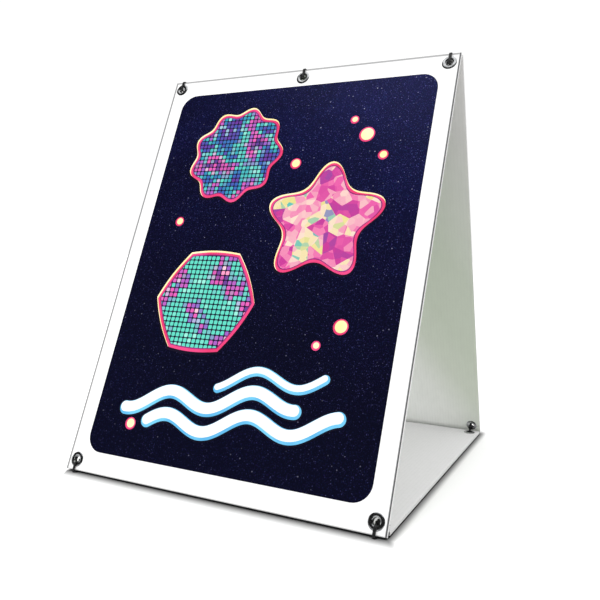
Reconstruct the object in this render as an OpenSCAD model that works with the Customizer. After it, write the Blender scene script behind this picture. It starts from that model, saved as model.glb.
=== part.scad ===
// A three-board folding floor sign. Two sloping faces and a flat base are cut
// from fluted plastic board and laced together along the ridge and at the
// corners with cable ties, which run through two-part metal grommets.
//
// X runs across the sign, Y from the front face to the rear face and Z up.
// The origin lies on the floor under the middle of the sign. The left side is
// the one at negative X, which is on the left for a person facing the front.

/* [Boards] */
// Width of the two faces and the base
panel_w = 457.2; // [300:0.1:700]
// Height of each face, measured along its slope
panel_h = 609.6; // [450:0.1:1000]
// Depth of the base, from its front edge to its rear edge
base_depth = 457.2; // [300:0.1:700]
// Thickness of the board over both skins
board_t = 4; // [3:0.5:6]
// Thickness of each flat skin of the board
skin_t = 0.3; // [0.2:0.05:0.6]
// Thickness of the webs that part the flutes
web_t = 0.3; // [0.2:0.05:0.6]
// Spacing of the webs
flute_pitch = 4.8; // [4:0.1:12]

/* [Corners] */
// How far the foot of a face hangs below the top of the base, along its slope
foot_drop = 4.4; // [3:0.1:6]
// Gap that the swinging foot of a face keeps from the edge of the base
swing_gap = 0.8; // [0.4:0.1:4]
// Space left at the ridge between the grommets of two faces folded together
fold_gap = 0.4; // [0.2:0.1:4]

/* [Print] */
// Bare margin at the left and right of the print
print_side = 24; // [10:1:60]
// Bare strip between the print and the grommets above and below it
print_gap = 4; // [1:0.5:20]
// Radius of the corners of the print
print_r = 24; // [5:1:60]
// Thickness of the print
print_t = 0.15; // [0.1:0.05:0.3]

/* [Grommets] */
// Distance from the middle of a grommet to the nearest edges
grommet_inset = 14; // [12:0.5:30]
// Bore of a grommet
bore_d = 9.5; // [7:0.1:11]
// Width of the flange ring around the bore
flange_w = 5.25; // [3.5:0.05:6]
// Height of the flange's domed crown
flange_h = 1; // [0.6:0.1:2]
// Wall of the barrel that passes through the board
barrel_wall = 0.4; // [0.3:0.05:0.8]
// Clearance around the barrel, in the board and in the washer
barrel_gap = 0.1; // [0.05:0.05:0.4]
// Thickness of the washer behind the board
washer_t = 0.6; // [0.4:0.1:1.2]
// Width of the washer ring around the bore
washer_w = 4; // [3.2:0.05:6]
// Height of the lip that is rolled over the washer
lip_h = 0.8; // [0.5:0.1:1.5]
// Reach of the rolled lip beyond the bore
lip_w = 2; // [1.5:0.1:3]

/* [Cable ties] */
// Width of the strap
tie_w = 3.6; // [2.5:0.1:4.8]
// Thickness of the strap
tie_t = 1.2; // [0.8:0.1:1.4]
// Radius of the strap's bends, at the middle of its thickness
tie_bend = 2; // [1.6:0.1:2.4]
// Gap between a strap and what it lies on
lie_gap = 0.05; // [0.02:0.01:0.2]
// Length of the locking head along the strap
head_l = 6; // [4.5:0.1:8]
// Width of the locking head
head_w = 6.2; // [5:0.1:9]
// Thickness of the locking head, strap included
head_t = 4.4; // [3.5:0.1:6]
// Bevel around the outer end of the head
head_bevel = 0.8; // [0.3:0.1:1.2]
// Length of the cut end that sticks out of the head
stub_l = 2; // [0.5:0.1:6]

/* [Hidden] */
SIDES = ["left", "right"];
FACE_SPOTS = ["low_left", "low_right", "top_left", "top_mid", "top_right"];
BASE_SPOTS = ["front_left", "front_right", "rear_left", "rear_right"];

// Steps in which the round profiles are drawn
round_steps = 8;
// Overrun of every cut
over = board_t / 2;

// Grommet radii, and the stack of parts that a barrel holds together
bore_r = bore_d / 2;
barrel_r = bore_r + barrel_wall;
flange_r = bore_r + flange_w;
washer_r = bore_r + washer_w;
hole_r = barrel_r + barrel_gap;
grip = board_t + washer_t;

// The base lies on the straps that pass under it, clear of its own flanges
base_z = tie_t + lie_gap + flange_h;
base_top = base_z + board_t;

// Each face turns about a line on its inner side, level with the top of the
// base. The ridge line lies between the faces, a washer and a lip from each.
hinge_y = base_depth / 2 + foot_drop + swing_gap;
ridge_off = washer_t + lip_h + fold_gap / 2;
hinge_h = panel_h - foot_drop;
lean = asin(hinge_y / norm([hinge_h, ridge_off])) - atan(ridge_off / hinge_h);
foot_y = -hinge_y - foot_drop * sin(lean);
foot_z = base_top - foot_drop * cos(lean);
ridge_z = base_top + hinge_h * cos(lean) - ridge_off * sin(lean);

// Places of the grommets: on a face as across and up its slope, on the base
// as across and back
spot_x = panel_w / 2 - grommet_inset;
spot_top = panel_h - grommet_inset;
spot_y = base_depth / 2 - grommet_inset;
face_holes = [[-spot_x, grommet_inset], [spot_x, grommet_inset],
              [-spot_x, spot_top], [0, spot_top], [spot_x, spot_top]];
base_holes = [[-spot_x, -spot_y], [spot_x, -spot_y],
              [-spot_x, spot_y], [spot_x, spot_y]];
ridge_x = [-spot_x, 0, spot_x];

// Point of the front face in the side view, as depth and height, from its
// distance up the slope and out from the inner side, and the way back
function face_point(up, out) =
    [foot_y + up * sin(lean) - out * cos(lean), foot_z + up * cos(lean) + out * sin(lean)];
function face_up(z, out) = (z - foot_z - out * sin(lean)) / cos(lean);
function swap_side(p) = [-p[0], p[1]];

// Outline of a convex shape with rounded corners, from the centres of its
// corners, which run counterclockwise, and one radius
function side_of(c, i) = c[(i + 1) % len(c)] - c[i % len(c)];
function out_angle(c, i) = atan2(-side_of(c, i)[0], side_of(c, i)[1]);
function rounded(c, r) = [
    for (i = [0:len(c) - 1])
        let (from = out_angle(c, i + len(c) - 1),
             turn = (out_angle(c, i) - from + 720) % 360)
        for (k = [0:round_steps])
            c[i] + r * [cos(from + turn * k / round_steps), sin(from + turn * k / round_steps)]
];

// Centres of a strap's bends. A corner strap drops from the face's grommet,
// wraps the foot, runs under the base and comes back up through its grommet.
// It is pulled tight, against the sides of the two bores nearest the corner.
wrap_out = board_t + flange_h + lie_gap + tie_t / 2 - tie_bend;
wrap_z = tie_t / 2 + tie_bend;
tie_reach = sqrt(pow(bore_r, 2) - pow(tie_w / 2, 2)) - tie_t / 2 - lie_gap;
corner_y = -spot_y - tie_reach - tie_bend;
corner_bends = [
    face_point(grommet_inset - tie_reach - tie_bend, wrap_out),
    face_point(face_up(wrap_z, wrap_out), wrap_out),
    [corner_y, wrap_z],
    [corner_y, base_top + washer_t + lip_h]
];

// A ridge strap runs level through a grommet of each face, up the outer
// sides and over both top edges
ridge_run_z = face_point(spot_top, (board_t + flange_h - washer_t - lip_h) / 2)[1];
ridge_low = face_point(face_up(ridge_run_z + tie_bend, wrap_out), wrap_out);
ridge_top_z = face_point(panel_h, board_t)[1] + lie_gap + tie_t / 2 - tie_bend;
ridge_high = face_point(face_up(ridge_top_z, wrap_out), wrap_out);
ridge_bends = [ridge_high, ridge_low, swap_side(ridge_low), swap_side(ridge_high)];

// Where the locking head sits along its stretch of the strap
corner_head_share = 0.4;
ridge_head_share = 0.5;

// Fluted board that lies flat from zero up, with its flutes along Y and a
// hole for each grommet
module fluted_board(length, holes) {
    count = round(panel_w / flute_pitch);
    pitch = panel_w / count;
    difference() {
        translate([0, length, 0]) rotate([90, 0, 0]) linear_extrude(length) difference() {
            translate([-panel_w / 2, 0]) square([panel_w, board_t]);
            for (i = [0:count - 1])
                translate([-panel_w / 2 + pitch * i + web_t / 2, skin_t])
                    square([pitch - web_t, board_t - 2 * skin_t]);
        }
        for (h = holes)
            translate([h[0], h[1], -over]) cylinder(r = hole_r, h = board_t + 2 * over, $fn = 48);
    }
}

// Thin print with rounded corners, on the outer skin of a face
module print_film() {
    x = panel_w / 2 - print_side - print_r;
    low = grommet_inset + flange_r + print_gap + print_r;
    high = panel_h - low;
    translate([0, 0, board_t]) linear_extrude(print_t)
        polygon(rounded([[-x, low], [x, low], [x, high], [-x, high]], print_r));
}

// Grommet front: a domed flange on the outer skin, a barrel through the
// board and a lip rolled over the washer
module eyelet() {
    crown_mid = (bore_r + flange_r) / 2;
    crown_half = (flange_r - bore_r) / 2;
    rotate_extrude($fn = 48) polygon(concat(
        [for (i = [0:round_steps]) let (a = 180 * i / round_steps)
            [crown_mid + crown_half * cos(a), flange_h * sin(a)]],
        [for (i = [0:round_steps]) let (a = 90 * i / round_steps)
            [bore_r + lip_w * sin(a), -grip - lip_h * cos(a)]],
        [[barrel_r, -grip], [barrel_r, 0]]
    ));
}

// Grommet back: a flat washer with a bevelled rim, against the inner skin
module washer() {
    bevel = washer_t / 2;
    rotate_extrude($fn = 48) polygon([
        [hole_r, -board_t], [washer_r, -board_t], [washer_r, -grip + bevel],
        [washer_r - bevel, -grip], [hole_r, -grip]
    ]);
}

// Closed loop of strap with its locking head, drawn in the side view and
// given its width along X. The head sits outside the loop on one stretch.
module cable_tie(bends, stretch, head_share) {
    along = bends[stretch] + side_of(bends, stretch) * head_share;
    turn = out_angle(bends, stretch);
    inner = tie_t / 2;
    rotate([90, 0, 90]) {
        linear_extrude(tie_w, center = true) difference() {
            polygon(rounded(bends, tie_bend + tie_t / 2));
            polygon(rounded(bends, tie_bend - tie_t / 2));
        }
        translate(along) rotate(turn) translate([tie_bend, 0]) {
            linear_extrude(head_w, center = true) polygon([
                [-inner, -head_l / 2], [head_t - inner - head_bevel, -head_l / 2],
                [head_t - inner, head_bevel - head_l / 2], [head_t - inner, head_l / 2 - head_bevel],
                [head_t - inner - head_bevel, head_l / 2], [-inner, head_l / 2]
            ]);
            linear_extrude(tie_w, center = true) translate([0, -tie_t / 2])
                square([head_t - inner + stub_l, tie_t]);
        }
    }
}

// Places a piece drawn on a flat board onto the front face, the rear face or
// the underside of the base
module on_front() { translate([0, foot_y, foot_z]) rotate([90 - lean, 0, 0]) children(); }
module on_rear() { mirror([0, 1, 0]) on_front() children(); }
module at_face_spot(i) { translate([face_holes[i][0], face_holes[i][1], board_t]) children(); }
module at_base_spot(i) {
    translate([base_holes[i][0], base_holes[i][1], base_z]) rotate([180, 0, 0]) children();
}

module base_panel() {
    holes = [for (h = base_holes) h + [0, base_depth / 2]];
    color("gainsboro") translate([0, -base_depth / 2, base_z]) fluted_board(base_depth, holes);
}
module front_panel() { color("white") on_front() fluted_board(panel_h, face_holes); }
module rear_panel() { color("white") on_rear() fluted_board(panel_h, face_holes); }
module front_print() { color("midnightblue") on_front() print_film(); }
module rear_print() { color("midnightblue") on_rear() print_film(); }
module front_eyelet(i) { color("silver") on_front() at_face_spot(i) eyelet(); }
module front_washer(i) { color("silver") on_front() at_face_spot(i) washer(); }
module rear_eyelet(i) { color("silver") on_rear() at_face_spot(i) eyelet(); }
module rear_washer(i) { color("silver") on_rear() at_face_spot(i) washer(); }
module base_eyelet(i) { color("silver") at_base_spot(i) eyelet(); }
module base_washer(i) { color("silver") at_base_spot(i) washer(); }
module front_tie(x) {
    color("black") translate([x, 0, 0]) cable_tie(corner_bends, 3, corner_head_share);
}
module rear_tie(x) { mirror([0, 1, 0]) front_tie(x); }
module ridge_tie(x) {
    color("black") translate([x, 0, 0]) cable_tie(ridge_bends, 2, ridge_head_share);
}

base_panel();
front_panel();
rear_panel();
front_print();
rear_print();
for (i = [0:len(FACE_SPOTS) - 1]) {
    front_eyelet(i);
    front_washer(i);
    rear_eyelet(i);
    rear_washer(i);
}
for (i = [0:len(BASE_SPOTS) - 1]) {
    base_eyelet(i);
    base_washer(i);
}
for (i = [0:len(SIDES) - 1]) {
    front_tie(ridge_x[2 * i]);
    rear_tie(ridge_x[2 * i]);
}
ridge_tie(ridge_x[0]);  // ridge_tie_left
ridge_tie(ridge_x[1]);  // ridge_tie_mid
ridge_tie(ridge_x[2]);  // ridge_tie_right
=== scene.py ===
"""Looks of a three-board folding floor sign: white fluted plastic faces with a
dark blue print, nickel grommets and black cable ties, on a pale studio floor."""
import math

import bmesh
import bpy
from mathutils import Matrix, Vector


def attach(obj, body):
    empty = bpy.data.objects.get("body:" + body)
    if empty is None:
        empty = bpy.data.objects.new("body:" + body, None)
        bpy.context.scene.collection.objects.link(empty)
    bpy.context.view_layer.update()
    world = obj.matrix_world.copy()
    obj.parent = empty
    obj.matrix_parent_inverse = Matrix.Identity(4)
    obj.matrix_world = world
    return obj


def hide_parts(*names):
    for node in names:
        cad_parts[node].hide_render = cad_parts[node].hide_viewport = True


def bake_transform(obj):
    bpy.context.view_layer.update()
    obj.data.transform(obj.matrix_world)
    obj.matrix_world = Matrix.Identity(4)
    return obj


MM = 0.001

# The sign's sizes, in millimetres, as its boards, grommets and ties were drawn
PANEL_W, PANEL_H, BASE_DEPTH, BOARD_T = 457.2, 609.6, 457.2, 4.0
FOOT_DROP, SWING_GAP, FOLD_GAP = 4.4, 0.8, 0.4
FLUTE_PITCH, PRINT_T = 4.8, 0.15
INSET, BORE_R, FLANGE_H = 14.0, 4.75, 1.0
WASHER_T, LIP_H = 0.6, 0.8
TIE_W, TIE_T, TIE_BEND, LIE_GAP = 3.6, 1.2, 2.0, 0.05
HEAD_L, HEAD_W, HEAD_T = 6.0, 6.2, 4.4
CORNER_HEAD_SHARE, RIDGE_HEAD_SHARE = 0.4, 0.5

# Places that follow from them
BASE_TOP = TIE_T + LIE_GAP + FLANGE_H + BOARD_T
HINGE_Y = BASE_DEPTH / 2 + FOOT_DROP + SWING_GAP
RIDGE_OFF = WASHER_T + LIP_H + FOLD_GAP / 2
HINGE_H = PANEL_H - FOOT_DROP
LEAN = math.asin(HINGE_Y / math.hypot(HINGE_H, RIDGE_OFF)) - math.atan(RIDGE_OFF / HINGE_H)
FOOT_Y = -HINGE_Y - FOOT_DROP * math.sin(LEAN)
FOOT_Z = BASE_TOP - FOOT_DROP * math.cos(LEAN)
SPOT_X, SPOT_Y = PANEL_W / 2 - INSET, BASE_DEPTH / 2 - INSET
TIE_REACH = math.sqrt(BORE_R ** 2 - (TIE_W / 2) ** 2) - TIE_T / 2 - LIE_GAP


def face_point(up, out):
    """A point of the front face in the side view, as depth and height."""
    return Vector((FOOT_Y + up * math.sin(LEAN) - out * math.cos(LEAN),
                   FOOT_Z + up * math.cos(LEAN) + out * math.sin(LEAN)))


def face_up(z, out):
    """How far up the slope a height lies."""
    return (z - FOOT_Z - out * math.sin(LEAN)) / math.cos(LEAN)


def face_matrix(rear=False):
    """Takes x across, y up the slope from the foot and z out of the inner side, in mm, to a face in metres."""
    lay = Matrix.Translation((0, FOOT_Y, FOOT_Z)) @ Matrix.Rotation(math.pi / 2 - LEAN, 4, "X")
    turn = Matrix.Rotation(math.pi, 4, "Z") if rear else Matrix.Identity(4)
    return Matrix.Scale(MM, 4) @ turn @ lay


# ---------------------------------------------------------------- materials

# The outer skins, the base's upper skin in painted shade, the grey that shows through at the webs, and the painted
# shade along the outer skins' edges
WHITE = (0.94, 0.94, 0.94)
BASE_PAINTED_SHADE = [(0.0, (0.885, 0.87, 0.895)), (1.0, (0.885, 0.87, 0.895))]
WEB_GREY, RIM_SHADE_GREY = (0.32, 0.34, 0.31, 1), (0.05, 0.05, 0.055, 1)
# How strongly the stripes over the webs, the soft bands and the uneven patches dim a skin. The outer side shows only
# OUTER_SHARE of the first two.
STRIPE_DIM, BAND_DIM, PATCH_DIM, OUTER_SHARE = 0.05, 0.045, 0.02, 0.2
# The inner sides' painted shade and light on the same white board. A place among them is a height in face heights
# plus INNER_PER_M for each metre away from the middle, and INNER_REACH is the last place that the run of shades can
# hold.
INNER_PER_M, INNER_REACH = 2.5, 1.6
INNER_PAINTED_SHADE = [(0.37, (0.97, 0.985, 0.955)), (0.52, (0.87, 0.89, 0.845)), (0.66, (0.69, 0.74, 0.64)),
                (0.80, (0.63, 0.69, 0.58)), (1.0, (0.615, 0.67, 0.57)), (1.38, (0.74, 0.735, 0.72)),
                (1.5, (0.82, 0.81, 0.80))]
# How far painted shade darkens the outer skin along its edges, as (width in mm, strength) at the left, the right,
# the foot and the top. The shade is full up to the first share of the width in RIM_FADE, and gone at the second.
FRONT_RIMS = ((2.6, 0.78), (2.0, 0.97), (1.0, 0.5), (2.8, 0.64))
REAR_RIMS = ((2.4, 0.80), (2.4, 0.80), (1.0, 0.5), (2.8, 0.64))
RIM_FADE = 0.55, 1.45

# The printed ground from its darkest blue to its lightest, and the two tints of its dust
FIELD_BLUES = [(0.0, (0.0026, 0.0028, 0.0110)), (0.3, (0.0029, 0.0029, 0.0160)),
               (0.6, (0.0033, 0.0040, 0.0270)), (1.0, (0.0046, 0.0058, 0.0470))]
DUST_TINTS = (0.042, 0.018, 0.180, 1), (0.014, 0.050, 0.170, 1)
# Its bright specks: how many to a metre, the share of them that stays dark, their strength and their colour
SPECKS = ((470.0, 0.66, 0.60, (0.13, 0.13, 0.48, 1)),
          (330.0, 0.70, 0.60, (0.19, 0.19, 0.48, 1)),
          (150.0, 0.72, 0.55, (0.40, 0.40, 0.60, 1)))
# A speck is full up to SPECK_CORE of its cell, and fades out over SPECK_FADE metres more
SPECK_CORE, SPECK_FADE = 0.08, 0.00055

# Inks of the motifs: the tiles' neon colours, the ground between them and their glint, and the patches' colours
NEON = [(0.0, (0.13, 0.03, 0.30)), (0.2, (0.035, 0.10, 0.42)), (0.38, (0.02, 0.30, 0.42)), (0.55, (0.10, 0.62, 0.48)),
        (0.7, (0.25, 0.10, 0.50)), (0.85, (0.75, 0.10, 0.42)), (1.0, (0.10, 0.04, 0.26))]
WARM_NEON = NEON[3:] + [(1.0, (0.9, 0.3, 0.5))]
TILE_GROUND, TILE_GLINT = (0.008, 0.006, 0.03, 1), (0.55, 0.95, 0.85, 1)
CANDY = [(0.0, (0.26, 0.05, 0.30)), (0.24, (0.50, 0.03, 0.26)), (0.42, (0.72, 0.10, 0.34)), (0.56, (0.76, 0.36, 0.44)),
         (0.66, (0.80, 0.62, 0.50)), (0.76, (0.70, 0.62, 0.22)), (0.86, (0.10, 0.45, 0.40)), (1.0, (0.34, 0.10, 0.42))]

# The floor as it is seen, as it throws light back, and in the deepest shade, and how strongly it glows elsewhere
FLOOR_SEEN, FLOOR_BOUNCE = ((0.955, 0.955, 0.955, 1), (0.965, 0.965, 0.965, 1)), (0.55, 0.55, 0.55, 1)
FLOOR_DARK, FLOOR_GLOW = (0.012, 0.012, 0.013, 1), 0.10
# The contact shadow round the standing sign: its reach in mm in front and behind, at the right and at the left, how
# far it drifts to the right for each mm in front, how fast it falls off, and its strength
SHADE_AHEAD, SHADE_RIGHT, SHADE_LEFT, SHADE_DRIFT, SHADE_FALL, SHADE_DARK = 30.0, 14.0, 4.0, 0.5, 1.3, 0.74
# It starts FOOT_LAP mm past the foot's lower edge, and the first FOOT_BAND of its reach counts as the foot
FOOT_LAP, FOOT_BAND = 0.8, 0.05
# Close to a board the floor darkens with painted shade by how much of its surroundings within OPEN_REACH mm is open.
# Each pair is the open share in full shade and in none: under a board, at the standing sign's foot, and beside a board.
OPEN_REACH, UNDER_OPEN, FOOT_OPEN, BESIDE_OPEN = 20.0, (0.22, 0.42), (0.50, 0.62), (0.4, 1.0)
UNDER_DARK, BESIDE_DARK = 0.985, 0.45


def rgba(colour):
    return (*colour, 1.0)


class Shader:
    """A material's node tree, with short calls for the nodes that it needs."""

    def __init__(self, name, **settings):
        self.material = bpy.data.materials.new(name)
        self.material.use_nodes = True
        self.tree = self.material.node_tree
        self.bsdf = self.tree.nodes["Principled BSDF"]
        for socket, value in settings.items():
            self.bsdf.inputs[socket.replace("_", " ")].default_value = value

    def node(self, kind, inputs=(), **settings):
        made = self.tree.nodes.new(kind)
        for name, value in settings.items():
            setattr(made, name, value)
        for i, value in dict(inputs).items():
            if isinstance(value, bpy.types.NodeSocket):
                self.tree.links.new(value, made.inputs[i])
            else:
                made.inputs[i].default_value = value
        return made

    def math(self, operation, a, b=0.0, c=0.0):
        return self.node("ShaderNodeMath", {0: a, 1: b, 2: c}, operation=operation).outputs[0]

    def plus(self, a, b):
        return self.math("ADD", a, b)

    def minus(self, a, b):
        return self.math("SUBTRACT", a, b)

    def times(self, a, b):
        return self.math("MULTIPLY", a, b)

    def over(self, a, b):
        return self.math("DIVIDE", a, b)

    def larger(self, a, b):
        return self.math("MAXIMUM", a, b)

    def size(self, a):
        return self.math("ABSOLUTE", a)

    def smooth(self, value, low, high, to_low=0.0, to_high=1.0):
        made = self.node("ShaderNodeMapRange", {0: value, 1: low, 2: high, 3: to_low, 4: to_high},
                         interpolation_type="SMOOTHSTEP")
        return made.outputs[0]

    def mix(self, share, a, b):
        return self.node("ShaderNodeMix", {0: share, 6: a, 7: b}, data_type="RGBA").outputs[2]

    def ramp(self, value, stops):
        made = self.node("ShaderNodeValToRGB", {0: value})
        ends = made.color_ramp.elements
        while len(ends) < len(stops):
            ends.new(0.5)
        for end, (place, colour) in zip(ends, stops):
            end.position = place
            end.color = rgba(colour)
        return made.outputs[0]

    def noise(self, vector, scale, detail=2.0, roughness=0.5):
        inputs = {"Vector": vector, "Scale": scale, "Detail": detail, "Roughness": roughness}
        return self.node("ShaderNodeTexNoise", inputs).outputs[0]

    def cells(self, vector, scale, **settings):
        """Cells around random points, as the distance from a cell's point and three chances for each cell."""
        made = self.node("ShaderNodeTexVoronoi", {"Vector": vector, "Scale": scale, "Randomness": 1.0}, **settings)
        chances = self.node("ShaderNodeSeparateColor", {0: made.outputs["Color"]}).outputs
        return made.outputs["Distance"], chances

    def place(self, output="Object"):
        return self.node("ShaderNodeTexCoord").outputs[output]

    def axes(self, vector):
        return self.node("ShaderNodeSeparateXYZ", {0: vector}).outputs

    def along(self, vector, direction):
        """How far a point lies along a direction."""
        return self.node("ShaderNodeVectorMath", {0: vector, 1: direction}, operation="DOT_PRODUCT").outputs["Value"]

    def bump(self, height, strength, distance):
        made = self.node("ShaderNodeBump", {"Height": height, "Strength": strength, "Distance": distance})
        self.set("Normal", made.outputs[0])

    def set(self, socket, value):
        self.tree.links.new(value, self.bsdf.inputs[socket])


def board_material(name, up, inner, inner_painted_shade, rims=()):
    """Fluted polypropylene: the webs show through the skins as faint stripes.

    up is (direction, start, length) of the flutes in metres and inner the direction that the inner side faces. The
    inner side's colour is painted shade and light, which runs through inner_painted_shade up the board and away from
    its middle. rims is where painted shade darkens the outer skin along its edges."""
    s = Shader(name, Roughness=0.42, IOR=1.49, Specular_IOR_Level=0.35)
    place = s.place()
    half = PANEL_W / 2 * MM
    x = s.along(place, (1, 0, 0))
    y = s.minus(s.along(place, up[0]), up[1])
    pitch = PANEL_W / round(PANEL_W / FLUTE_PITCH) * MM
    turn = s.math("FRACT", s.over(s.plus(x, half), pitch))
    stripe = s.smooth(s.size(s.minus(turn, 0.5)), 0.30, 0.5)
    uneven = s.noise(place, 9.0, 3.0)
    # Long soft bands down the flutes, where the sheet was drawn
    stretched = s.node("ShaderNodeMapping", {0: place, 3: (150.0, 150.0, 3.0)}).outputs[0]
    bands = s.smooth(s.noise(stretched, 1.0, 2.0), 0.35, 0.75)
    # Painted shade and light on the inner side, which change up the board and toward its open sides
    reach = s.plus(s.over(y, up[2]), s.times(s.size(x), INNER_PER_M))
    shade = s.ramp(s.over(reach, INNER_REACH), inner_painted_shade)
    toward = s.along(s.place("Normal"), inner)
    facing = s.smooth(toward, 0.6, 0.9)
    # The inner side takes the painted shade and light, and the outer side stays white
    colour = s.mix(facing, rgba(WHITE), shade)
    dim = s.plus(s.times(stripe, STRIPE_DIM), s.times(bands, BAND_DIM))
    dim = s.times(dim, s.plus(OUTER_SHARE, s.times(facing, 1 - OUTER_SHARE)))
    colour = s.mix(s.plus(dim, s.times(uneven, PATCH_DIM)), colour, WEB_GREY)
    # Painted shade along the outer skin's edges
    if rims:
        grey = 0.0
        sides = (s.plus(x, half), s.minus(half, x), y, s.minus(up[2], y))
        for side, (width, strength) in zip(sides, rims):
            full, clear = (width * share * MM for share in RIM_FADE)
            grey = s.larger(grey, s.smooth(side, full, clear, strength, 0.0))
        outer = s.smooth(toward, -0.9, -0.6, 1.0, 0.0)
        colour = s.mix(s.times(grey, outer), colour, RIM_SHADE_GREY)
    s.set("Base Color", colour)
    s.set("Roughness", s.smooth(uneven, 0.2, 0.8, 0.36, 0.5))
    s.bump(s.plus(s.times(stripe, -0.6), s.times(bands, 0.6)), 0.12, 0.0003)
    return s.material


def field_material(name, up, start):
    """The dark blue printed ground: a slow change of blue under a dense dust of fine coloured specks."""
    s = Shader(name, Roughness=0.20, IOR=1.5, Specular_IOR_Level=0.08)
    place = s.place()
    # It is lightest at the top right
    high = s.smooth(s.minus(s.along(place, up), start), 0.10, 0.60)
    right = s.smooth(s.along(place, (1, 0, 0)), -0.16, 0.2)
    cloud = s.minus(s.noise(place, 11.0, 4.0, 0.62), 0.5)
    lift = s.plus(s.times(high, s.plus(0.42, s.times(right, 0.46))), s.times(cloud, s.plus(0.35, s.times(high, 0.6))))
    colour = s.ramp(lift, FIELD_BLUES)
    tint = s.mix(s.smooth(s.noise(place, 620.0, 2.0, 0.6), 0.38, 0.62), *DUST_TINTS)
    dust = s.smooth(s.noise(place, 700.0, 1.0, 0.5), 0.52, 0.80)
    colour = s.mix(s.times(dust, s.plus(0.16, s.times(lift, 0.60))), colour, tint)
    for per_metre, dark_share, strength, shade in SPECKS:
        distance, chances = s.cells(place, per_metre)
        dot = s.smooth(distance, SPECK_CORE, SPECK_FADE * per_metre + SPECK_CORE, 1.0, 0.0)
        speck = s.times(dot, s.smooth(chances[0], dark_share, 1.0))
        amount = s.plus(strength * 0.42, s.times(lift, strength * 0.9))
        colour = s.mix(s.times(speck, amount), colour, shade)
    s.set("Base Color", colour)
    s.bump(s.noise(place, 900.0), 0.05, 0.0002)
    return s.material


def ink_material(name, low, high):
    """A printed ink that changes slowly between two shades."""
    s = Shader(name, Roughness=0.32, IOR=1.5, Specular_IOR_Level=0.25)
    s.set("Base Color", s.mix(s.smooth(s.noise(s.place(), 26.0, 2.0), 0.35, 0.65), rgba(low), rgba(high)))
    return s.material


def mosaic_material(name, stops, cell, shift):
    """Small rounded tiles in changing neon colours, on a nearly black ground. cell is their pitch in mm."""
    s = Shader(name, Roughness=0.3, IOR=1.5, Specular_IOR_Level=0.25)
    where = s.node("ShaderNodeMapping", {0: s.place("UV"), 1: shift, 3: (1 / cell, 1 / cell, 1)}).outputs[0]
    tile = s.node("ShaderNodeVectorMath", {0: where}, operation="FLOOR").outputs[0]
    off = s.axes(s.node("ShaderNodeVectorMath", {0: where}, operation="FRACTION").outputs[0])
    # How far from a tile's middle a point lies, measured so that equal values form a rounded square
    across, up = (s.math("POWER", s.size(s.minus(off[i], 0.5)), 4.0) for i in range(2))
    inside = s.smooth(s.math("POWER", s.plus(across, up), 0.25), 0.36, 0.44, 1.0, 0.0)
    slow = s.smooth(s.noise(tile, 0.16, 2.0), 0.3, 0.7)
    chance = s.node("ShaderNodeTexWhiteNoise", {0: tile}, noise_dimensions="3D").outputs["Value"]
    colour = s.ramp(s.plus(slow, s.times(s.minus(chance, 0.5), 0.22)), stops)
    colour = s.mix(s.times(s.smooth(chance, 0.82, 1.0), 0.4), colour, TILE_GLINT)
    s.set("Base Color", s.mix(inside, TILE_GROUND, colour))
    return s.material


def facet_material(name, stops, cell):
    """Flat many-sided patches in candy colours. cell is the larger patches' usual size in mm."""
    s = Shader(name, Roughness=0.3, IOR=1.5, Specular_IOR_Level=0.25)
    where = s.node("ShaderNodeMapping", {0: s.place("UV"), 3: (1 / cell, 1 / cell, 1)}).outputs[0]
    _, large = s.cells(where, 1.0, voronoi_dimensions="2D")
    _, small = s.cells(where, 2.3, voronoi_dimensions="2D")
    s.set("Base Color", s.ramp(s.plus(s.times(large[0], 0.7), s.times(small[1], 0.3)), stops))
    return s.material


def nickel_material():
    """Polished nickel plate with fine turning marks and a dull film in places."""
    s = Shader("nickel", Metallic=1.0, Roughness=0.16)
    place = s.place()
    film = s.noise(place, 260.0, 3.0)
    s.set("Base Color", s.mix(s.smooth(film, 0.35, 0.7), (0.50, 0.51, 0.52, 1), (0.34, 0.345, 0.35, 1)))
    s.set("Roughness", s.smooth(film, 0.3, 0.7, 0.10, 0.24))
    s.bump(s.noise(place, 2200.0, 1.0), 0.06, 0.0001)
    return s.material


def nylon_material():
    """Black nylon strap with a slight moulded grain."""
    s = Shader("black_nylon", Roughness=0.38, IOR=1.53, Specular_IOR_Level=0.4)
    grain = s.noise(s.place(), 1400.0, 3.0)
    s.set("Base Color", s.mix(s.smooth(grain, 0.3, 0.7), (0.008, 0.008, 0.009, 1), (0.016, 0.016, 0.017, 1)))
    s.set("Roughness", s.smooth(grain, 0.3, 0.7, 0.32, 0.46))
    s.bump(grain, 0.15, 0.0001)
    return s.material


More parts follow.
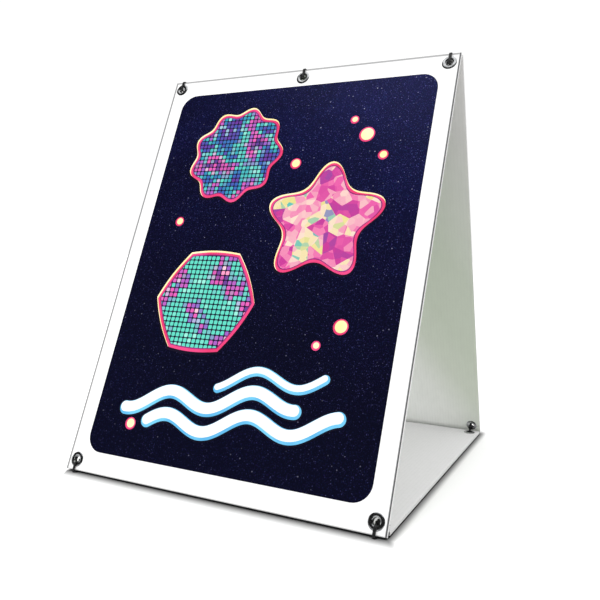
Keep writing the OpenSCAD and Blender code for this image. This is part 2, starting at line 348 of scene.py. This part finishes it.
def floor_material():
    """Matt pale studio floor with a painted shadow round the standing sign's foot and painted shade close to every
    board.
    """
    s = Shader("studio_floor", Roughness=0.9, Specular_IOR_Level=0.0)
    place = s.place()
    x, y, _ = s.axes(place)
    half_x, half_y = PANEL_W / 2 * MM, (FOOT_LAP - FOOT_Y) * MM

    def past(value, limit):
        """How far a value lies past a limit."""
        return s.larger(s.minus(value, limit), 0.0)

    # In front the shade drifts to the right, away from the key light
    across = s.minus(x, s.times(past(s.times(y, -1.0), half_y), SHADE_DRIFT))
    right = s.over(past(across, half_x), SHADE_RIGHT * MM)
    left = s.over(past(s.times(across, -1.0), half_x), SHADE_LEFT * MM)
    ahead = s.over(past(s.size(y), half_y), SHADE_AHEAD * MM)
    far = s.math("SQRT", s.plus(s.math("POWER", s.larger(right, left), 2.0), s.math("POWER", ahead, 2.0)))
    near = s.times(s.math("POWER", s.smooth(far, 0.0, 1.0, 1.0, 0.0), SHADE_FALL), SHADE_DARK)
    # Painted shade, black under a board that lies just above the floor and grey close beside it, wherever the boards
    # are folded to
    opening = s.node("ShaderNodeAmbientOcclusion", {"Distance": OPEN_REACH * MM}, samples=16).outputs["AO"]
    foot = s.times(s.smooth(far, 0.0, FOOT_BAND, 1.0, 0.0), s.smooth(opening, *FOOT_OPEN, UNDER_DARK, 0.0))
    under = s.larger(foot, s.smooth(opening, *UNDER_OPEN, UNDER_DARK, 0.0))
    beside = s.smooth(opening, *BESIDE_OPEN, BESIDE_DARK, 0.0)
    dark = s.larger(s.larger(near, beside), under)
    # It throws less light back at the sign than it shows, so that the sign's inside keeps its shade
    seen = s.node("ShaderNodeLightPath").outputs["Is Camera Ray"]
    pale = s.mix(seen, FLOOR_BOUNCE, s.mix(s.noise(place, 3.0), *FLOOR_SEEN))
    # The painted shadow darkens the floor's colour and takes its glow away
    s.set("Base Color", s.mix(dark, pale, FLOOR_DARK))
    s.bsdf.inputs["Emission Color"].default_value = (1, 1, 1, 1)
    s.set("Emission Strength", s.times(s.minus(1.0, s.math("MINIMUM", s.times(dark, 1.5), 1.0)), FLOOR_GLOW))
    return s.material


# ---------------------------------------------------------------- pieces

# The print's outlines lie in layers a hair's breadth apart, in mm across from the middle of the foot and up the face
LAYER_STEP = 0.03
MIDDLE = PANEL_H / 2
# How long a wave stroke's swings are, how far they go up and down, and how steeply the stroke climbs to the right
WAVE_LENGTH, WAVE_RISE, WAVE_CLIMB = 122.0, 11.5, 0.10
# Each stroke's left and right end, height and thickness
WAVES = ((-158, 92, MIDDLE - 184, 14), (-118, 150, MIDDLE - 214, 14), (-22, 124, MIDDLE - 157, 8))
# Each dot's place across, height above the middle and radius
DOTS = ((118, 190, 9), (146, 158, 5), (96, 214, 4), (-150, 62, 5), (20, 150, 6), (132, -78, 8), (104, -104, 4),
        (-142, -232, 6))
# The outlines that a motif, a wave and a dot are printed with, from below: the name's ending, how far each is grown
# and shifted in mm, its layer and its ink. A motif's last ink is its own, and each wave lies WAVE_LAYERS higher.
MOTIF_PRINTS = (("_shade", 8.6, (-1.0, -1.6), 1, "shade"), ("_rim", 6.8, (-0.9, 1.2), 2, "pale_yellow"),
                ("_edge", 5.9, (0.3, -0.5), 3, "hot_pink"), ("_line", 2.2, (0, 0), 4, "wine"),
                ("", 0.6, (0, 0), 5, None))
WAVE_PRINTS = (("_shade", 4.4, (1.2, -1.8), 2, "shade"), ("_edge", 2.2, (1.0, -1.6), 3, "sky_blue"),
               ("", 0.0, (0, 0), 4, "white"))
DOT_PRINTS = (("_edge", 2.2, (-0.3, -0.4), 3, "hot_pink"), ("", 0.0, (0, 0), 5, "pale_yellow"))
WAVE_LAYERS, DOT_STEPS = 3, 40

# The finer forms of a cable tie, in mm: the strap's eased edges and cross teeth, the head's bevel, the collar on the
# head that the strap comes out of, and the cut end, which is longer at the rear foot. Both start SUNK in the head.
STRAP_EASE, TOOTH, HEAD_BEVEL, SUNK = 0.28, 0.14, 0.8, 0.5
COLLAR_W, COLLAR_L, COLLAR_RISE, COLLAR_BEVEL = TIE_W + 1.2, TIE_T + 1.6, 0.35, 0.2
STUB_RISE, REAR_STUB_RISE, STUB_BEVEL = 2.0, 5.0, 0.15
SHARP_ANGLE = math.radians(40)


def link(name, data):
    made = bpy.data.objects.new(name, data)
    bpy.context.scene.collection.objects.link(made)
    return made


def mesh_of(work, name):
    mesh = bpy.data.meshes.new(name)
    work.to_mesh(mesh)
    work.free()
    return mesh


def add_piece(name, mesh, material):
    piece = link(name, mesh)
    mesh.materials.append(material)
    return piece


def flat_shape(outline, height, place):
    """A filled outline at a height above the inner side of a face, with its own coordinates in mm as UVs."""
    work = bmesh.new()
    points = [work.verts.new((x, y, height)) for x, y in outline]
    face = work.faces.new(points)
    face.normal_update()
    if face.normal.z < 0:
        face.normal_flip()
    uv = work.loops.layers.uv.new("print")
    for loop in face.loops:
        loop[uv].uv = (loop.vert.co.x, loop.vert.co.y)
    bmesh.ops.triangulate(work, faces=[face])
    work.transform(place)
    return mesh_of(work, "print_shape")


def polar_outline(centre, radius, grow, shift=(0, 0), steps=144):
    """A closed outline around a centre from its radius at each angle, grown outward by grow."""
    cx, cy = centre[0] + shift[0], centre[1] + shift[1]
    turns = [2 * math.pi * i / steps for i in range(steps)]
    return [(cx + (radius(t) + grow) * math.cos(t), cy + (radius(t) + grow) * math.sin(t)) for t in turns]


def wave_outline(left, right, height, thick, grow, shift, steps=96, end_steps=12):
    """A stroke of even width that swings up and down, with round ends, grown outward by grow."""
    half = thick / 2 + grow

    def round_end(x, y, turn, quarter):
        """The half circle round a stroke's end, without its first and last point."""
        angles = [turn + math.pi * (quarter + k / end_steps) for k in range(1, end_steps)]
        return [(x + half * math.cos(a), y + half * math.sin(a)) for a in angles]

    spine = []
    for i in range(steps + 1):
        x = left + (right - left) * i / steps
        phase = 2 * math.pi * x / WAVE_LENGTH
        y = height + WAVE_RISE * math.sin(phase) + WAVE_CLIMB * x
        turn = math.atan(WAVE_RISE * 2 * math.pi / WAVE_LENGTH * math.cos(phase) + WAVE_CLIMB)
        spine.append((x, y, turn))
    top = [(x - half * math.sin(turn), y + half * math.cos(turn)) for x, y, turn in spine]
    bottom = [(x + half * math.sin(turn), y - half * math.cos(turn)) for x, y, turn in spine]
    outline = bottom + round_end(*spine[-1], -0.5) + top[::-1] + round_end(*spine[0], 0.5)
    return [(px + shift[0], py + shift[1]) for px, py in outline]


def scalloped(size):
    return lambda t: size * (1 + 0.075 * math.cos(9 * t))


def star(size):
    return lambda t: size * (1 + 0.23 * math.cos(5 * (t - math.pi / 2)) + 0.03 * math.cos(10 * (t - math.pi / 2)))


def hexagon(size):
    def radius(t):
        flat = math.cos(math.pi / 6) / math.cos((t % (math.pi / 3)) - math.pi / 6)
        return size * (0.72 * flat + 0.26)
    return radius


def disc(size):
    return lambda t: size


# Each motif's name, centre, outline and own ink
MOTIFS = (("scalloped_disc", (-82, MIDDLE + 168), scalloped(66), "cool_tiles"),
          ("star", (78, MIDDLE + 62), star(64), "facets"),
          ("hexagon", (-74, MIDDLE - 56), hexagon(74), "warm_tiles"))


def print_inks():
    return {
        "shade": ink_material("ink_shade", (0.004, 0.003, 0.012), (0.006, 0.004, 0.016)),
        "pale_yellow": ink_material("ink_pale_yellow", (0.98, 0.80, 0.36), (0.98, 0.88, 0.52)),
        "hot_pink": ink_material("ink_hot_pink", (0.72, 0.03, 0.14), (0.80, 0.06, 0.22)),
        "wine": ink_material("ink_wine", (0.20, 0.01, 0.12), (0.28, 0.02, 0.20)),
        "sky_blue": ink_material("ink_sky_blue", (0.10, 0.42, 0.72), (0.16, 0.55, 0.82)),
        "white": ink_material("ink_white", (0.92, 0.94, 0.96), (0.78, 0.88, 0.95)),
        "cool_tiles": mosaic_material("cool_tiles", NEON, 6.4, (0.3, 0.1, 0)),
        "warm_tiles": mosaic_material("warm_tiles", WARM_NEON, 7.0, (5.3, 2.1, 0)),
        "facets": facet_material("candy_facets", CANDY, 22.0),
    }


def print_design(side, rear, inks):
    """The printed motifs of one face: three bright shapes, three swinging ribbons and a few dots."""
    place = face_matrix(rear)

    def put(name, outline, layer, ink):
        mesh = flat_shape(outline, BOARD_T + PRINT_T + LAYER_STEP * layer, place)
        piece = add_piece(f"{side}_print_{name}", mesh, inks[ink])
        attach(piece, side)

    for name, centre, radius, own_ink in MOTIFS:
        for ending, grow, shift, layer, ink in MOTIF_PRINTS:
            put(name + ending, polar_outline(centre, radius, grow, shift), layer, ink or own_ink)
    for i, wave in enumerate(WAVES, 1):
        for ending, grow, shift, layer, ink in WAVE_PRINTS:
            put(f"wave_{i}{ending}", wave_outline(*wave, grow, shift), layer + i * WAVE_LAYERS, ink)
    for i, (x, up, size) in enumerate(DOTS, 1):
        for ending, grow, shift, layer, ink in DOT_PRINTS:
            outline = polar_outline((x, MIDDLE + up), disc(size), grow, shift, DOT_STEPS)
            put(f"dot_{i}{ending}", outline, layer, ink)


def rounded_loop(corners, radius, steps=10, run=1.6):
    """Points and outward angles around a closed loop with rounded corners, which run counterclockwise."""
    count = len(corners)
    sides = [corners[(i + 1) % count] - corners[i] for i in range(count)]
    out = [math.atan2(-side.x, side.y) for side in sides]
    points = []
    for i in range(count):
        start = out[i - 1]
        turn = (out[i] - start) % (2 * math.pi)
        for k in range(steps + 1):
            a = start + turn * k / steps
            points.append((corners[i] + radius * Vector((math.cos(a), math.sin(a))), a))
        end = points[-1][0]
        target = corners[(i + 1) % count] + radius * Vector((math.cos(out[i]), math.sin(out[i])))
        pieces = max(1, int((target - end).length / run))
        points += [(end.lerp(target, k / pieces), out[i]) for k in range(1, pieces)]
    return points


def strap_mesh(work, loop, x):
    """A strap with eased edges and fine cross teeth along its inner side."""
    half_w, half_t, ease = TIE_W / 2, TIE_T / 2, STRAP_EASE
    rings = []
    for n, (point, angle) in enumerate(loop):
        outward = Vector((math.cos(angle), math.sin(angle)))
        tooth = TOOTH if n % 2 else 0.0
        section = [(-half_w, half_t - ease), (-half_w + ease, half_t), (half_w - ease, half_t),
                   (half_w, half_t - ease), (half_w, -half_t + ease), (half_w - ease, -half_t + tooth),
                   (-half_w + ease, -half_t + tooth), (-half_w, -half_t + ease)]
        rings.append([work.verts.new((x + across, *(point + outward * deep))) for across, deep in section])
    for ring, after in zip(rings, rings[1:] + rings[:1]):
        for k in range(len(ring)):
            work.faces.new((ring[k], ring[(k + 1) % len(ring)], after[(k + 1) % len(ring)], after[k]))


def box_mesh(work, x, place, out_low, out_high, width, length, bevel):
    """A box on the strap, bevelled at its outer end. place is (point, outward angle)."""
    point, angle = place
    outward = Vector((math.cos(angle), math.sin(angle)))
    along = Vector((-outward.y, outward.x))
    ends = []
    for deep, less in ((out_low, 0.0), (out_high - bevel, 0.0), (out_high, bevel)):
        w, l = width / 2 - less, length / 2 - less
        corners = (-w, -l), (w, -l), (w, l), (-w, l)
        ends.append([work.verts.new((x + a, *(point + outward * deep + along * b))) for a, b in corners])
    work.faces.new(ends[0])
    work.faces.new(ends[-1])
    for low, high in zip(ends, ends[1:]):
        for k in range(4):
            work.faces.new((low[k], low[(k + 1) % 4], high[(k + 1) % 4], high[k]))


def cable_tie(name, x, corners, stretch, head_share, nylon, stub_rise=STUB_RISE):
    """One closed cable tie with its locking head and cut end.

    corners are the loop's in the side view. The head sits at head_share of the side that starts at corner stretch."""
    side = corners[(stretch + 1) % len(corners)] - corners[stretch]
    angle = math.atan2(-side.x, side.y)
    centre = corners[stretch] + side * head_share + TIE_BEND * Vector((math.cos(angle), math.sin(angle)))
    place = centre, angle
    outer = HEAD_T - TIE_T / 2
    work = bmesh.new()
    strap_mesh(work, rounded_loop(corners, TIE_BEND), x)
    box_mesh(work, x, place, -TIE_T / 2, outer, HEAD_W, HEAD_L, HEAD_BEVEL)
    box_mesh(work, x, place, outer - SUNK, outer + COLLAR_RISE, COLLAR_W, COLLAR_L, COLLAR_BEVEL)
    box_mesh(work, x, place, outer - SUNK, outer + stub_rise, TIE_W, TIE_T, STUB_BEVEL)
    bmesh.ops.recalc_face_normals(work, faces=work.faces)
    work.transform(Matrix.Scale(MM, 4))
    mesh = mesh_of(work, name)
    for polygon in mesh.polygons:
        polygon.use_smooth = True
    mesh.set_sharp_from_angle(angle=SHARP_ANGLE)
    return add_piece(name, mesh, nylon)


def mirrored(corners):
    """The same loop on the rear side, still counterclockwise."""
    return [Vector((-c.x, c.y)) for c in reversed(corners)]


def add_ties(nylon):
    """Laces the boards: two ties at the front foot, two at the rear foot and three over the ridge."""
    wrap_out = BOARD_T + FLANGE_H + LIE_GAP + TIE_T / 2 - TIE_BEND
    wrap_z = TIE_T / 2 + TIE_BEND
    corner_y = -SPOT_Y - TIE_REACH - TIE_BEND
    corner = [face_point(INSET - TIE_REACH - TIE_BEND, wrap_out), face_point(face_up(wrap_z, wrap_out), wrap_out),
              Vector((corner_y, wrap_z)), Vector((corner_y, BASE_TOP + WASHER_T + LIP_H))]
    run_z = face_point(PANEL_H - INSET, (BOARD_T + FLANGE_H - WASHER_T - LIP_H) / 2).y
    low = face_point(face_up(run_z + TIE_BEND, wrap_out), wrap_out)
    top_z = face_point(PANEL_H, BOARD_T).y + LIE_GAP + TIE_T / 2 - TIE_BEND
    high = face_point(face_up(top_z, wrap_out), wrap_out)
    ridge = [high, low, Vector((-low.x, low.y)), Vector((-high.x, high.y))]
    for side, x in (("left", -SPOT_X), ("right", SPOT_X)):
        front = cable_tie(f"front_cable_tie_{side}", x, corner, 3, CORNER_HEAD_SHARE, nylon)
        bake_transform(front)
        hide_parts(f"front_tie_{side}")
        rear = cable_tie(f"rear_cable_tie_{side}", x, mirrored(corner), 3, 1 - CORNER_HEAD_SHARE, nylon, REAR_STUB_RISE)
        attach(rear, "base")
        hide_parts(f"rear_tie_{side}")
    for side, x in (("left", -SPOT_X), ("mid", 0.0), ("right", SPOT_X)):
        tie = cable_tie(f"ridge_cable_tie_{side}", x, ridge, 2, RIDGE_HEAD_SHARE, nylon)
        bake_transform(tie)
        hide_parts(f"ridge_tie_{side}")


def dress_nodes(frame):
    """Gives every carried-over board, print and grommet its material."""
    rise, run = math.cos(LEAN), math.sin(LEAN)
    front_up, rear_up = (0, run, rise), (0, -run, rise)
    front_inner, rear_inner = (0, rise, -run), (0, -rise, -run)
    start = (FOOT_Y * run + FOOT_Z * rise) * MM
    front_flutes, rear_flutes = (front_up, start, PANEL_H * MM), (rear_up, start, PANEL_H * MM)
    base_flutes = ((0, 1, 0), -BASE_DEPTH / 2 * MM, BASE_DEPTH * MM)
    # The run of painted shade and light for the inner sides of the faces
    shades = [(place / INNER_REACH, colour) for place, colour in INNER_PAINTED_SHADE]
    finishes = {
        "front_panel": board_material("front_board", front_flutes, front_inner, shades, FRONT_RIMS),
        "rear_panel": board_material("rear_board", rear_flutes, rear_inner, shades, REAR_RIMS),
        # The base's upper skin is one even painted shade, darker than its white underside
        "base_panel": board_material("base_board", base_flutes, (0, 0, 1), BASE_PAINTED_SHADE),
        "front_print": field_material("front_field", front_up, start),
        "rear_print": field_material("rear_field", rear_up, start),
    }
    nickel = nickel_material()
    for name, node in frame["nodes"].items():
        finish = finishes.get(name) or (nickel if "eyelet" in name or "washer" in name else None)
        if finish:
            if not node.material_slots:
                node.data.materials.append(finish)
            for slot in node.material_slots:
                slot.material = finish


# ---------------------------------------------------------------- studio

# The camera looks at AIM, a point inside the sign, from in front and to the right. Its picture's middle lies off the
# lens axis, as in a cropped photo, so the lens is shifted by as much. Angles are in degrees and lengths in mm.
FRAME_PX, SENSOR_MM = 600, 36
FOCAL_PX, AXIS_X_PX, AXIS_Y_PX = 651.8, 320.0, 309.7
CAM_TURN, CAM_RISE, CAM_ROLL = 25.264, 4.906, 1.424
CAM_DISTANCE, AIM = 968.1, (31.45, 0.0, 217.84)

# Azimuths count from the front, with 90 at the right. The sun's azimuth, elevation, spread in degrees and power:
KEY_SUN = -25, 40, 50, 0.9
# The side lamp's place, aim and size in metres, and its power
SIDE_LAMP = (-0.90, -0.36, 0.20), (0.18, 0.20, 0.05), 0.30, 2.0
# The sky's brightness for the eye, and as light from low and from high, with the heights between which it rises
SKY_SEEN, SKY_LIGHT, SKY_LIGHT_RISE = 1.06, (0.45, 1.24), (0.02, 0.42)
# What the metal and the straps mirror: a dark room with a bright ceiling and two round lamps on the level. A lamp is
# its azimuth and the cosine of its half width.
ROOM, CEILING, CEILING_RISE = 0.025, 1.5, (0.74, 0.84)
LAMPS, LAMP_POWER, LAMP_EDGE = ((-78, 0.965), (84, 0.975)), 1.6, 0.02


def add_camera():
    turn, rise, roll = (math.radians(a) for a in (CAM_TURN, CAM_RISE, CAM_ROLL))
    back = Vector((math.sin(turn) * math.cos(rise), -math.cos(turn) * math.cos(rise), math.sin(rise)))
    right = Vector((math.cos(turn), math.sin(turn), 0))
    up = back.cross(right)
    right, up = right * math.cos(roll) + up * math.sin(roll), up * math.cos(roll) - right * math.sin(roll)
    data = bpy.data.cameras.new("camera")
    data.sensor_fit = "HORIZONTAL"
    data.sensor_width = SENSOR_MM
    data.lens = SENSOR_MM * FOCAL_PX / FRAME_PX
    data.shift_x = (FRAME_PX / 2 - AXIS_X_PX) / FRAME_PX
    data.shift_y = (AXIS_Y_PX - FRAME_PX / 2) / FRAME_PX
    turned = Matrix((right, up, back)).transposed().to_4x4()
    turned.translation = (Vector(AIM) + back * CAM_DISTANCE) * MM
    camera = link("camera", data)
    camera.matrix_world = turned
    bpy.context.scene.camera = camera


def add_sun(name, azimuth, elevation, spread, power):
    """Soft light from far away, which nothing mirrors."""
    data = bpy.data.lights.new(name, "SUN")
    data.energy = power
    data.angle = math.radians(spread)
    a, e = math.radians(azimuth), math.radians(elevation)
    toward = Vector((math.sin(a) * math.cos(e), -math.cos(a) * math.cos(e), math.sin(e)))
    light = link(name, data)
    light.rotation_euler = toward.to_track_quat("Z", "Y").to_euler()
    light.visible_glossy = False


def add_area(name, place, aim, size, power):
    """A square soft light that shines from a place toward an aim, and is neither seen nor mirrored."""
    data = bpy.data.lights.new(name, "AREA")
    data.size = size
    data.energy = power
    light = link(name, data)
    light.location = place
    light.rotation_euler = (Vector(aim) - Vector(place)).to_track_quat("-Z", "Y").to_euler()
    light.visible_camera = False
    light.visible_glossy = False


class Sky:
    """The studio around the sign: white for the eye, bright from above as light, and mostly dark as a reflection."""

    node, math, smooth, along = Shader.node, Shader.math, Shader.smooth, Shader.along

    def __init__(self):
        world = bpy.data.worlds.new("studio")
        world.use_nodes = True
        bpy.context.scene.world = world
        # The light comes in only along the paths that Cycles traces, so that what is mirrored stays dark
        world.cycles.sampling_method = "NONE"
        self.tree = world.node_tree
        direction = self.tree.nodes.new("ShaderNodeTexCoord").outputs["Generated"]
        height = self.along(direction, (0, 0, 1))
        light = self.smooth(height, *SKY_LIGHT_RISE, *SKY_LIGHT)
        mirrored = self.math("ADD", self.smooth(height, *CEILING_RISE, 0.0, CEILING), ROOM)
        for azimuth, rim in LAMPS:
            a = math.radians(azimuth)
            toward = self.along(direction, (math.sin(a), -math.cos(a), 0.0))
            lamp = self.smooth(toward, rim - LAMP_EDGE, rim, 0.0, LAMP_POWER)
            mirrored = self.math("MAXIMUM", mirrored, lamp)
        path = self.node("ShaderNodeLightPath").outputs
        strength = self.mix(path["Is Glossy Ray"], light, mirrored)
        strength = self.mix(path["Is Camera Ray"], strength, SKY_SEEN)
        background = self.tree.nodes["Background"].inputs
        self.tree.links.new(strength, background["Strength"])
        background["Color"].default_value = (1, 1, 1, 1)

    def mix(self, share, a, b):
        return self.node("ShaderNodeMix", {0: share, 2: a, 3: b}, data_type="FLOAT").outputs[0]


def add_studio():
    """A pale floor under an even bright sky, a soft sun from the front left and a low lamp at the left."""
    work = bmesh.new()
    bmesh.ops.create_grid(work, x_segments=4, y_segments=4, size=40.0)
    mesh = mesh_of(work, "floor")
    mesh.materials.append(floor_material())
    floor = link("floor", mesh)
    Sky()
    add_sun("key", *KEY_SUN)
    add_area("side", *SIDE_LAMP)
    shown = bpy.context.scene.view_settings
    shown.view_transform = "Standard"
    shown.look = "None"
    shown.exposure = 0.0


# ---------------------------------------------------------------- the sign

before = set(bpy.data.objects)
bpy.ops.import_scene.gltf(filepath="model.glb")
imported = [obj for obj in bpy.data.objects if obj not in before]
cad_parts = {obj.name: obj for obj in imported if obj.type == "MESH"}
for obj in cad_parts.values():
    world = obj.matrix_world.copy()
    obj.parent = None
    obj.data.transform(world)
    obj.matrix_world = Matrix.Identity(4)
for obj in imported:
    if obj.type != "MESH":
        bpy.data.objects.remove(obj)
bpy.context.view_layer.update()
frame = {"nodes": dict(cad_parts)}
add_camera()
dress_nodes(frame)
inks = print_inks()
print_design("front", False, inks)
print_design("rear", True, inks)
add_ties(nylon_material())
add_studio()
